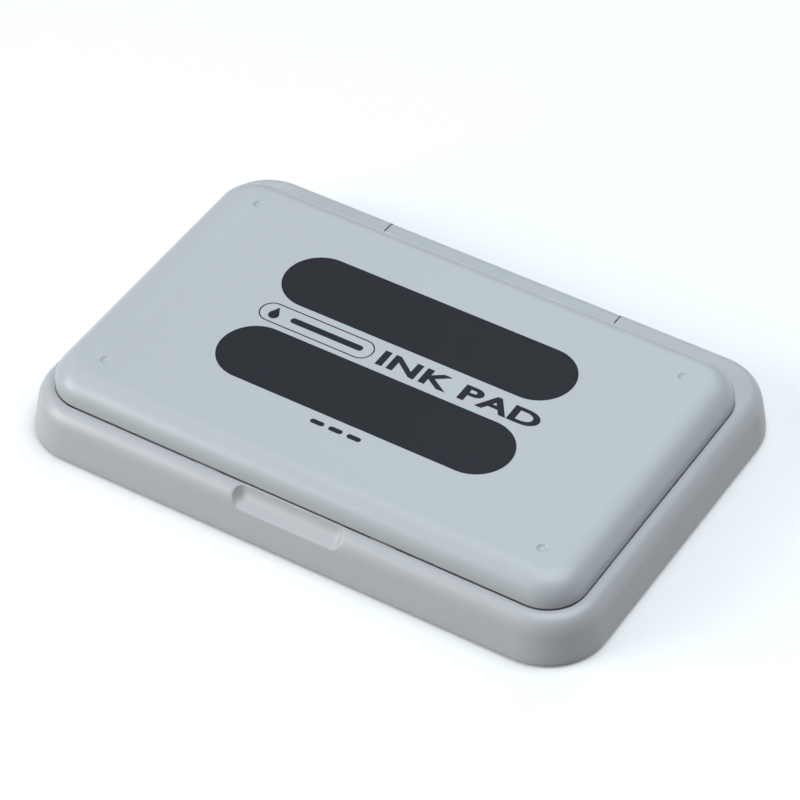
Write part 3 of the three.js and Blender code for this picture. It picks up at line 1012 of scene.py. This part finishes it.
@dataclass(frozen=True)
class HingedLid:
    """The moulded lid: domed shell, locating lip, stacking dimples, hinge tongue and catch nibs."""

    skirt: float = 1.4
    crown_rise: float = 5.35
    crown_inset: float = 5.85
    wall: float = 1.8
    lip_setback: float = 0.9
    lip_gap: float = 0.5
    dimple_radius: float = 1.2
    dimple_depth: float = 0.6
    catch_x: float = 22.0
    catch_length: float = 6.0
    catch_height: float = 0.5
    catch_nib: float = 0.4
    ejector_radius: float = 3.0
    ejector_depth: float = 0.12

    @property
    def skirt_bottom(self) -> float:
        """Height of the skirt's lower edge."""
        return GAUGE.rim_top + GAUGE.lift

    @property
    def lip_bottom(self) -> float:
        """Height of the locating lip's lower edge."""
        return GAUGE.ledge + self.lip_gap

    def shoulder(self, start: Outline, reach: float, rise: float) -> list[np.ndarray]:
        """Stations up a quarter-ellipse shoulder, with one more just inside its flat top."""
        base = self.skirt_bottom + self.skirt
        made = [
            start.inset(reach * (1 - math.cos(turn))).at(base + rise * math.sin(turn))
            for turn in np.linspace(0, 0.5 * math.pi, 25)
        ]
        return [*made, start.inset(reach + 0.6).at(base + rise)]

    def shell(self) -> bpy.types.Object:
        """The lid's shell as one skin, from its ceiling round its lip to its top."""
        lid = GAUGE.lid
        lip, inside = lid.inset(self.lip_setback), lid.inset(self.wall)
        ceiling = self.shoulder(inside, self.crown_inset - self.wall, self.crown_rise - self.wall)[::-1]
        crown = self.shoulder(lid, self.crown_inset, self.crown_rise)
        skirt = softened(
            [ceiling[-1], inside.at(self.lip_bottom), lip.at(self.lip_bottom), lip.at(self.skirt_bottom),
             lid.at(self.skirt_bottom), crown[0]],
            [0, 0.25, 0.25, 0.1, 0.22, 0],
        )
        columns = Columns(corner_steps=24, side_y=(-20.0, 0.0, 20.0), rear_x=(-44.0, -22.0, 0.0, 22.0, 44.0),
                          front_x=(-44.0, -22.0, 0.0, 22.0, 44.0))
        return skin("lid_top", [columns.ring(s) for s in [*ceiling, *skirt[1:-1], *crown]])

    def tongue(self) -> bpy.types.Object:
        """The hinge tongue and its barrel, flush with the rim that they lie in."""
        lid, (y, z) = GAUGE.lid, GAUGE.hinge
        half = HINGE.half
        neck_floor = GAUGE.ledge + HINGE.neck_gap
        plan = HINGE.flared(half, HINGE.flare, lid.rear, lid.rear - self.wall + 0.02, y)
        made = prism("tongue", plan, neck_floor, GAUGE.rim_top + 1)
        barrel = turned("barrel", [
            (HINGE.barrel_radius - 0.2, -half), (HINGE.barrel_radius, 0.2 - half),
            (HINGE.barrel_radius, half - 0.2), (HINGE.barrel_radius - 0.2, half),
        ], sides=64)
        lay = Matrix.Translation((0, y * MM, z * MM)) @ Matrix.Rotation(0.5 * math.pi, 4, "Y")
        shape(made, place(barrel, lay), Cut.JOIN)
        columns = Columns(corner_steps=8)
        stations = CaseBase().outside(back=GAUGE.edge_gap / 2)
        shape(made, skin("envelope", [columns.ring(s) for s in stations]), Cut.COMMON)
        web = block("web", (-half, lid.rear - self.wall + 0.02, neck_floor),
                    (half, lid.rear - 0.02, self.skirt_bottom + self.skirt))
        shape(made, web, Cut.JOIN)
        for side in (-1, 1):
            bore = HINGE.rod(
                "bore",
                HINGE.pin_radius + HINGE.run_clearance,
                side * (half + 1),
                side * (half - HINGE.pin_bore),
            )
            shape(made, bore, Cut.AWAY)
        return made

    def build(self) -> bpy.types.Object:
        """Builds, dresses and seats the lid."""
        made = self.shell()
        shape(made, self.tongue(), Cut.JOIN)
        radius, depth = self.dimple_radius, self.dimple_depth
        lid = GAUGE.lid
        for x, y in stacking_spots():
            dimple = turned("dimple", [
                (0.3 * radius, -depth), (0.62 * radius, -0.9 * depth), (0.85 * radius, -0.55 * depth),
                (0.97 * radius, -0.2 * depth), (1.1 * radius, 0.0), (1.3 * radius, 0.25),
            ])
            shape(made, place(dimple, Matrix.Translation((x * MM, y * MM, GAUGE.lid_top * MM))), Cut.AWAY)
        ceiling = GAUGE.lid_top - self.wall
        for x, y in [(x, y) for x in (-44.0, 0.0, 44.0) for y in (-24.0, 24.0)]:
            mark = turned("mark", [(self.ejector_radius, -1.0), (self.ejector_radius, self.ejector_depth)])
            shape(made, place(mark, Matrix.Translation((x * MM, y * MM, ceiling * MM))), Cut.AWAY)
        lip = lid.inset(self.lip_setback)
        for x in (-self.catch_x, self.catch_x):
            low = (x - self.catch_length / 2, lip.front - self.catch_nib, self.lip_bottom)
            high = (x + self.catch_length / 2, lip.front + 0.3, self.lip_bottom + self.catch_height)
            shape(made, block("nib", low, high), Cut.JOIN)
        return seat(smooth(made), "lid", LID_GREY, ("lid_shell",))


# ---- Print on the lid ---------------------------------------------------------------------------


@dataclass(frozen=True)
class LidPrint:
    """Printed black panels, a plain drop badge and two plain words on the lid's flat top."""

    film: float = 0.02
    sink: float = 0.01
    panel_length: float = 73.1
    panel_depth: float = 17.3
    panel_x: float = -0.45
    front_panel_y: float = -14.3
    rear_panel_y: float = 12.3
    badge_x: float = -20.8
    badge_y: float = -1.2
    badge_length: float = 29.0
    badge_depth: float = 6.2
    badge_line: float = 0.3
    words: str = "INK PAD"
    words_from: float = -4.4
    words_to: float = 35.5
    words_y: float = -1.2
    words_height: float = 4.9
    words_weight: float = 0.035
    mark_x: float = -0.45
    mark_y: float = -25.8

    def lay(self, made: bpy.types.Object) -> bpy.types.Object:
        """Dresses one printed shape and has it ride on the lid."""
        return seat(made, "lid", PRINT_BLACK)

    def film_of(self, name: str, plan: list[tuple[float, float]], extra: float = 0.0) -> bpy.types.Object:
        """One filled shape as a thin film in the lid's top.

        Args:
            name: The shape's name.
            plan: Its outline, counter-clockwise.
            extra: How much further it reaches up and down, for a shape that cuts another.

        Returns:
            The film.
        """
        return prism(name, plan, GAUGE.lid_top - self.sink - extra, GAUGE.lid_top + self.film + extra)

    @staticmethod
    def pill(x: float, y: float, length: float, depth: float, steps: int = 24) -> list[tuple[float, float]]:
        """Plan of a bar with round ends about a centre, counter-clockwise."""
        outline = Outline(length / 2, -depth / 2, depth / 2, depth / 2 - 0.01)
        return [(px + x, py + y) for px, py, _ in Columns(corner_steps=steps).ring(outline.at(0.0))]

    @staticmethod
    def drop(x: float, y: float, radius: float) -> list[tuple[float, float]]:
        """Plan of a drop with its tip to the rear, counter-clockwise."""
        turns = np.linspace(math.radians(-212), math.radians(32), 40)
        return [(x + radius * math.cos(t), y + radius * math.sin(t)) for t in turns] + [(x, y + 2.1 * radius)]

    def badge(self) -> None:
        """A thin outlined bar with a drop and a plain stroke in it."""
        x, y, line = self.badge_x, self.badge_y, 2 * self.badge_line
        border = self.film_of("print_badge_border", self.pill(x, y, self.badge_length, self.badge_depth))
        inside = self.pill(x, y, self.badge_length - line, self.badge_depth - line)
        shape(border, self.film_of("opening", inside, 0.5), Cut.AWAY)
        self.lay(border)
        left = x - self.badge_length / 2 + self.badge_depth / 2
        self.lay(self.film_of("print_badge_drop", self.drop(left + 0.6, y - 0.6, 1.25)))
        self.lay(self.film_of("print_badge_stroke", self.pill(x + 2.6, y, self.badge_length - 10.5, 1.7)))

    def lettering(self) -> bpy.types.Object:
        """The two plain words, set to the length and height that they fill.

        Returns:
            The letters as one thin film.
        """
        curve = bpy.data.curves.new("print_words", "FONT")
        curve.body, curve.size, curve.offset, curve.space_character = self.words, 1.0, self.words_weight, 1.05
        curve.extrude = (self.film + self.sink) / 2 * MM
        source = bpy.data.objects.new("print_words_source", curve)
        bpy.context.scene.collection.objects.link(source)
        graph = bpy.context.evaluated_depsgraph_get()
        mesh = bpy.data.meshes.new_from_object(source.evaluated_get(graph))
        bpy.data.objects.remove(source)
        made = bpy.data.objects.new("print_words", mesh)
        bpy.context.scene.collection.objects.link(made)
        spots = np.array([v.co[:] for v in mesh.vertices])
        low, size = spots.min(axis=0), np.ptp(spots, axis=0)
        wide, tall = (self.words_to - self.words_from) * MM / size[0], self.words_height * MM / size[1]
        place(made, Matrix.Diagonal((wide, tall, 1.0, 1.0)) @ Matrix.Translation((-low[0], -low[1], -low[2])))
        corner = (self.words_from, self.words_y - self.words_height / 2, GAUGE.lid_top - self.sink)
        place(made, Matrix.Translation([value * MM for value in corner]))
        return self.lay(made)

    def build(self) -> None:
        """Prints the panels, the badge, the words and the small mark in front."""
        for name, y in (("print_panel_front", self.front_panel_y), ("print_panel_rear", self.rear_panel_y)):
            self.lay(self.film_of(name, self.pill(self.panel_x, y, self.panel_length, self.panel_depth)))
        self.badge()
        self.lettering()
        for index in (-1, 0, 1):
            plan = self.pill(self.mark_x + 4.6 * index, self.mark_y, 3.4, 1.3)
            self.lay(self.film_of(f"print_mark_{index + 2}", plan))


# ---- Pad ----------------------------------------------------------------------------------------


@dataclass(frozen=True)
class PadInsert:
    """What lies in the well: the ink tray, two felts, the cloth over them and its frame."""

    tray_floor: float = 1.1
    tray_wall: float = 1.2
    frame_rail: float = 4.0
    frame_edge: float = 0.5
    cloth_thickness: float = 0.45
    cloth_round: float = 1.1
    cloth_crown: float = 0.3
    cloth_net: tuple[int, int] = (67, 39)
    cloth_sim_scale: float = 20.0
    cloth_pressure: float = 2.0

    @staticmethod
    def outline_of(node: str, corner: float) -> Outline:
        """A node's plan as an outline with a given corner radius."""
        low, high = Gauge.span(node)
        return Outline(high[0], low[1], high[1], corner)

    def tray(self) -> bpy.types.Object:
        """The open tray."""
        outer = self.outline_of("ink_tray", GAUGE.well.radius - 0.3)
        low, high = (corner[2] for corner in Gauge.span("ink_tray"))
        cavity = outer.inset(self.tray_wall)
        floor = low + self.tray_floor
        stations = softened(
            [outer.inset(3).at(low), outer.at(low), outer.at(high), cavity.at(high), cavity.at(floor),
             cavity.inset(3).at(floor)],
            [0, 0.5, 0.25, 0.25, 0.6, 0],
        )
        made = skin("ink_tray_moulded", [Columns(corner_steps=12).ring(s) for s in stations])
        return seat(smooth(made), "base", INNER_GREY, ("ink_tray",))

    def frame(self) -> bpy.types.Object:
        """The frame that holds the cloth's edge down."""
        outer = self.outline_of("pad_frame", GAUGE.well.radius - 0.3)
        low, high = (corner[2] for corner in Gauge.span("pad_frame"))
        window = outer.inset(self.frame_rail)
        mid = outer.inset(self.frame_rail / 2)
        stations = softened(
            [mid.at(low), outer.at(low), outer.at(high), window.at(high), window.at(low), mid.at(low)],
            [0, 0.2, self.frame_edge * 1.4, self.frame_edge * 1.4, 0.2, 0],
            steps=7,
        )
        made = skin("cloth_frame", [Columns(corner_steps=14).ring(s) for s in stations[:-1]], joined=True)
        return seat(smooth(made), "base", INNER_GREY, ("pad_frame",))

    def felt(
        self, name: str, node: str, slot: str, finish: Finish, corner: float, fuzz: float
    ) -> bpy.types.Object:
        """A felt block with soft edges and an uneven surface, kept inside its solid.

        Args:
            name: The piece's name.
            node: The plain solid that it stands for.
            slot: The record's material slot; not used.
            finish: The finish that it wears.
            corner: Plan corner radius.
            fuzz: How far the surface wanders in, in millimetres.

        Returns:
            The felt.
        """
        outer = self.outline_of(node, corner)
        low, high = (edge[2] for edge in Gauge.span(node))
        tops = [outer.inset(d).at(high) for d in np.linspace(2, min(-outer.front, outer.rear) - 1.5, 24)]
        bottoms = [outer.inset(d).at(low) for d in np.linspace(12, 2, 4)]
        stations = softened([bottoms[-1], outer.at(low), outer.at(high), tops[0]], [0, 0.5, 0.6, 0])
        columns = Columns(corner_steps=10, front_x=tuple(np.linspace(-44, 44, 45)),
                          rear_x=tuple(np.linspace(-44, 44, 45)), side_y=tuple(np.linspace(-24, 24, 25)))
        rings = [columns.ring(s) for s in [*bottoms[:-1], *stations, *tops[1:]]]
        points = np.vstack(rings)
        wander = np.random.default_rng(7).random((len(points), 1)) * fuzz
        middle = (points.max(axis=0) + points.min(axis=0)) / 2
        inward = np.sign(middle - points) * np.array([0.3, 0.3, 1.0])
        points += inward * wander
        count = len(rings[0])
        made = skin(name, [points[i : i + count] for i in range(0, len(points), count)])
        seat(smooth(made, 60), "base", finish, (node,))
        return made

    def drawn_over(self, outer: Outline, edge_top: float, low: float) -> tuple[bpy.types.Object, int]:
        """The cloth as an even net of threads, flat on top and turned down all round.

        Args:
            outer: The cloth's outside in plan.
            edge_top: Height of its top beside the edge.
            low: Height of its lower edge.

        Returns:
            The open sheet, and how many of its points are on the flat top.
        """
        top = outer.inset(self.cloth_round)
        mid, half = (top.front + top.rear) / 2, np.array([top.half_x, (top.rear - top.front) / 2])
        across, along = self.cloth_net
        spread = np.meshgrid(np.linspace(-1, 1, across), np.linspace(-1, 1, along), indexing="ij")
        grid = np.stack(spread, axis=-1)
        plan = grid * half
        core = np.clip(plan, top.radius - half, half - top.radius)
        over = (plan - core) / top.radius
        turned_in = np.stack([over[..., 0] * np.sqrt(1 - over[..., 1] ** 2 / 2),
                              over[..., 1] * np.sqrt(1 - over[..., 0] ** 2 / 2)], axis=-1)
        plan = core + turned_in * top.radius + (0.0, mid)
        number = np.arange(across * along).reshape(across, along)
        faces = [
            (number[i, j], number[i + 1, j], number[i + 1, j + 1], number[i, j + 1])
            for i in range(across - 1) for j in range(along - 1)
        ]
        rim = [*number[:, 0], *number[-1, 1:], *number[-2::-1, -1], *number[0, -2:0:-1]]
        flat = plan.reshape(-1, 2)
        points = [np.column_stack([flat, np.full(len(flat), edge_top)])]
        centre = core.reshape(-1, 2)[rim] + (0.0, mid)
        away = flat[rim] - centre
        away /= np.linalg.norm(away, axis=1)[:, None]
        rows = [(self.cloth_round * math.sin(t), self.cloth_round * (1 - math.cos(t)))
                for t in np.linspace(0, 0.5 * math.pi, 7)[1:]]
        rows += [(self.cloth_round, d) for d in np.linspace(self.cloth_round, edge_top - low, 4)[1:]]
        last, size = np.array(rim), len(flat)
        for out, down in rows:
            fresh = size + np.arange(len(rim))
            points.append(np.column_stack([flat[rim] + away * out, np.full(len(rim), edge_top - down)]))
            for k in range(len(rim)):
                n = (k + 1) % len(rim)
                faces.append((fresh[k], fresh[n], last[n], last[k]))
            last, size = fresh, size + len(rim)
        faces = [tuple(int(i) for i in face) for face in faces]
        return object_from("pad_cloth_woven", np.vstack(points), faces), len(flat)

    def relaxed(self, made: bpy.types.Object, loose: int) -> None:
        """Lets the cloth's top swell against its held edge, as the wet felt under it pushes up.

        The cloth is simulated at a larger scale, where the solver is steady, then brought back. How far
        a point may end from its start is capped.

        Args:
            made: The sheet, whose first points are its flat top.
            loose: How many points are free.
        """
        scale, mesh = self.cloth_sim_scale, made.data
        start = np.array([v.co[:] for v in mesh.vertices])
        mesh.vertices.foreach_set("co", (start * scale).ravel())
        held = made.vertex_groups.new(name="held")
        held.add(list(range(loose, len(start))), 1.0, "ADD")
        cloth = made.modifiers.new("cloth", "CLOTH")
        cloth.settings.quality = 6
        cloth.settings.mass = 0.4
        cloth.settings.tension_stiffness = cloth.settings.compression_stiffness = 40.0
        cloth.settings.bending_stiffness = 0.8
        cloth.settings.vertex_group_mass = held.name
        cloth.settings.use_pressure = True
        cloth.settings.uniform_pressure_force = self.cloth_pressure
        cloth.settings.effector_weights.gravity = 0.0
        cloth.collision_settings.use_collision = False
        for number in range(1, 21):
            bpy.context.scene.frame_set(number)
        graph = bpy.context.evaluated_depsgraph_get()
        ended = made.evaluated_get(graph).to_mesh()
        end = np.array([v.co[:] for v in ended.vertices]) / scale
        made.evaluated_get(graph).to_mesh_clear()
        made.modifiers.clear()
        bpy.context.scene.frame_set(1)
        moved = end - start
        rise = moved[:loose, 2] / MM
        LOG.info("cloth top moved up by %.2f to %.2f mm", rise.min(), rise.max())
        far = np.linalg.norm(moved, axis=1)[:, None]
        cap = self.cloth_crown * MM
        moved *= np.where(far > 1e-9, cap * np.tanh(far / cap) / np.maximum(far, 1e-9), 1.0)
        mesh.vertices.foreach_set("co", (start + moved).ravel())
        mesh.update()

    def cloth(self) -> bpy.types.Object:
        """The cloth: one thin sheet drawn over the face felt and tucked down beside it."""
        outer = self.outline_of("pad_cloth", GAUGE.well.radius - 4.3)
        low, high = (corner[2] for corner in Gauge.span("pad_cloth"))
        edge_top = high - self.cloth_crown
        made, loose = self.drawn_over(outer, edge_top, low)
        self.relaxed(made, loose)
        solid = made.modifiers.new("thickness", "SOLIDIFY")
        solid.thickness, solid.offset = self.cloth_thickness * MM, -1.0
        graph = bpy.context.evaluated_depsgraph_get()
        fresh = bpy.data.meshes.new_from_object(made.evaluated_get(graph))
        made.modifiers.clear()
        made.data = fresh
        seat(smooth(made, 60), "base", PAD_CLOTH, ("pad_cloth",))
        return made

    def build(self) -> None:
        """Builds, dresses and seats the pad's pieces."""
        self.tray()
        corner = GAUGE.well.radius
        self.felt("reservoir_felt_block", "reservoir_felt", "felt", RESERVOIR_FELT, corner - 1.8, 0.12)
        self.felt("face_felt_block", "face_felt", "felt_inked", FACE_FELT, corner - 5.4, 0.06)
        self.cloth()
        self.frame()


# ---- Pins ---------------------------------------------------------------------------------------


@dataclass(frozen=True)
class HingePins:
    """Two short steel pins, each bridging one slit beside the tongue."""

    def build(self) -> None:
        """Builds, dresses and seats both pins."""
        for side, word in ((-1, "left"), (1, "right")):
            low, high = Gauge.span(f"hinge_pin_{word}")
            made = HINGE.rod(f"pin_{word}", HINGE.pin_radius, low[0], high[0], HINGE.pin_chamfer)
            seat(smooth(made), "base", PIN_STEEL, (f"hinge_pin_{word}",))


# ---- Studio -------------------------------------------------------------------------------------


@dataclass(frozen=True)
class SoftLight:
    """A square soft light: where it stands and its side in metres, its power in watts and its colour."""

    name: str
    at: Colour
    size: float
    power: float
    colour: Colour = (1.0, 1.0, 1.0)


LIGHTS = (
    SoftLight("key", (-0.95, -0.95, 0.45), 0.9, 14.0, (0.94, 1.0, 0.99)),
    SoftLight("key_upper", (-0.93, -0.75, 0.9), 0.9, 2.4, (1.0, 0.82, 0.88)),
    SoftLight("overhead", (0.3, 0.1, 1.3), 1.4, 19.3, (0.885, 0.96, 1.0)),
    SoftLight("rear", (-0.3, 1.1, 0.9), 0.8, 2.4, (0.9, 0.96, 1.0)),
)


@dataclass(frozen=True)
class Studio:
    """A pale floor, soft lights and the camera."""

    azimuth: float = 31.492
    elevation: float = 43.341
    roll: float = 0.036
    distance: float = 0.86289
    lens: float = 177.493
    aim_right: float = -0.000117
    aim_up: float = -0.000623
    aim_height: float = 0.0085
    floor_half: float = 6.0
    backdrop: Colour = (0.95, 0.97, 0.98)
    glow: float = 0.9
    glow_from: float = 0.35
    glow_to: float = 1.3
    below: Colour = (0.34, 0.32, 0.315)
    horizon: Colour = (0.09, 0.09, 0.092)
    zenith: Colour = (0.08, 0.09, 0.1)

    def camera(self) -> bpy.types.Object:
        """The camera, aimed at the middle of the case."""
        a, e = math.radians(self.azimuth), math.radians(self.elevation)
        back = Vector((math.sin(a) * math.cos(e), -math.cos(a) * math.cos(e), math.sin(e)))
        right = Vector((math.cos(a), math.sin(a), 0))
        up = back.cross(right)
        data = bpy.data.cameras.new("camera")
        data.lens, data.sensor_width = self.lens, 36.0
        data.clip_start, data.clip_end = 0.05, 40.0
        made = bpy.data.objects.new("camera", data)
        bpy.context.scene.collection.objects.link(made)
        spot = back * self.distance + right * self.aim_right + up * self.aim_up
        spot.z += self.aim_height
        frame = Matrix((right, up, back)).transposed().to_4x4()
        tilt = Matrix.Rotation(math.radians(self.roll), 4, "Z")
        made.matrix_world = Matrix.Translation(spot) @ frame @ tilt
        bpy.context.scene.camera = made
        return made

    def floor(self) -> bpy.types.Object:
        """The plain pale floor. Far from the case, where the lights fall off, it is kept pale by a glow."""
        half = self.floor_half / MM
        plan = [(-half, -half), (half, -half), (half, half), (-half, half)]
        made = object_from("studio_floor", np.array([(x, y, 0.0) for x, y in plan]), [(0, 1, 2, 3)])
        paint = bpy.data.materials.new("studio_floor_paint")
        paint.use_nodes = True
        wiring = Wiring(paint.node_tree)
        shader, leave = wiring.add("BsdfPrincipled"), wiring.add("OutputMaterial")
        wiring.link(shader.outputs[0], leave.inputs["Surface"])
        shader.inputs["Base Color"].default_value = (0.93, 0.93, 0.93, 1.0)
        shader.inputs["Roughness"].default_value = 0.9
        away = wiring.add("VectorMath", operation="LENGTH")
        wiring.link(wiring.add("TexCoord").outputs["Object"], away.inputs[0])
        fade = wiring.add("MapRange", interpolation_type="SMOOTHSTEP")
        fade.inputs["From Min"].default_value = self.glow_from
        fade.inputs["From Max"].default_value = self.glow_to
        fade.inputs["To Max"].default_value = self.glow
        wiring.link(away.outputs["Value"], fade.inputs["Value"])
        seen = wiring.add("LightPath").outputs["Is Camera Ray"]
        wiring.link(wiring.math("MULTIPLY", fade.outputs["Result"], seen), shader.inputs["Emission Strength"])
        shader.inputs["Emission Color"].default_value = (*self.backdrop, 1.0)
        made.data.materials.append(paint)
        made.visible_diffuse = False
        return made

    def light(self, soft: "SoftLight") -> None:
        """Puts up one square soft light, aimed at the case."""
        data = bpy.data.lights.new(soft.name, "AREA")
        data.size, data.energy, data.color = soft.size, soft.power, soft.colour
        made = bpy.data.objects.new(soft.name, data)
        bpy.context.scene.collection.objects.link(made)
        made.location = soft.at
        made.rotation_euler = (-Vector(soft.at)).to_track_quat("-Z", "Y").to_euler()

    def world(self) -> None:
        """Dim light from all round, behind a pale backdrop."""
        world = bpy.data.worlds.new("studio")
        bpy.context.scene.world = world
        world.use_nodes = True
        wiring = Wiring(world.node_tree)
        leave, sky, pale = wiring.add("OutputWorld"), wiring.add("Background"), wiring.add("Background")
        mix = wiring.add("MixShader")
        ramp = wiring.add("ValToRGB")
        height = wiring.add("SeparateXYZ")
        wiring.link(wiring.add("TexCoord").outputs["Generated"], height.inputs[0])
        lifted = wiring.math("MULTIPLY_ADD", height.outputs["Z"], 0.5)
        lifted.node.inputs[2].default_value = 0.5
        wiring.link(lifted, ramp.inputs["Fac"])
        stops = ramp.color_ramp.elements
        stops[0].position, stops[0].color = 0.42, (*self.below, 1)
        stops[1].position, stops[1].color = 1.0, (*self.zenith, 1)
        horizon = stops.new(0.55)
        horizon.color = (*self.horizon, 1)
        wiring.link(ramp.outputs["Color"], sky.inputs["Color"])
        pale.inputs["Color"].default_value = (*self.backdrop, 1.0)
        pale.inputs["Strength"].default_value = self.glow
        wiring.link(wiring.add("LightPath").outputs["Is Camera Ray"], mix.inputs[0])
        wiring.link(sky.outputs[0], mix.inputs[1])
        wiring.link(pale.outputs[0], mix.inputs[2])
        wiring.link(mix.outputs[0], leave.inputs["Surface"])

    def build(self) -> None:
        """Sets up the floor, the lights, the world and the camera."""
        self.floor()
        self.world()
        for soft in LIGHTS:
            self.light(soft)
        self.camera()
        bpy.context.scene.view_settings.view_transform = "Standard"


# ---- Everything in order ------------------------------------------------------------------------


def main() -> None:
    """Builds the studio, then each sub-assembly in order."""
    logging.basicConfig(level=logging.INFO, format="%(name)s %(message)s")
    Studio().build()
    CaseBase().build()
    PadInsert().build()
    HingePins().build()
    HingedLid().build()
    LidPrint().build()


if __name__ == "__main__":
    main()
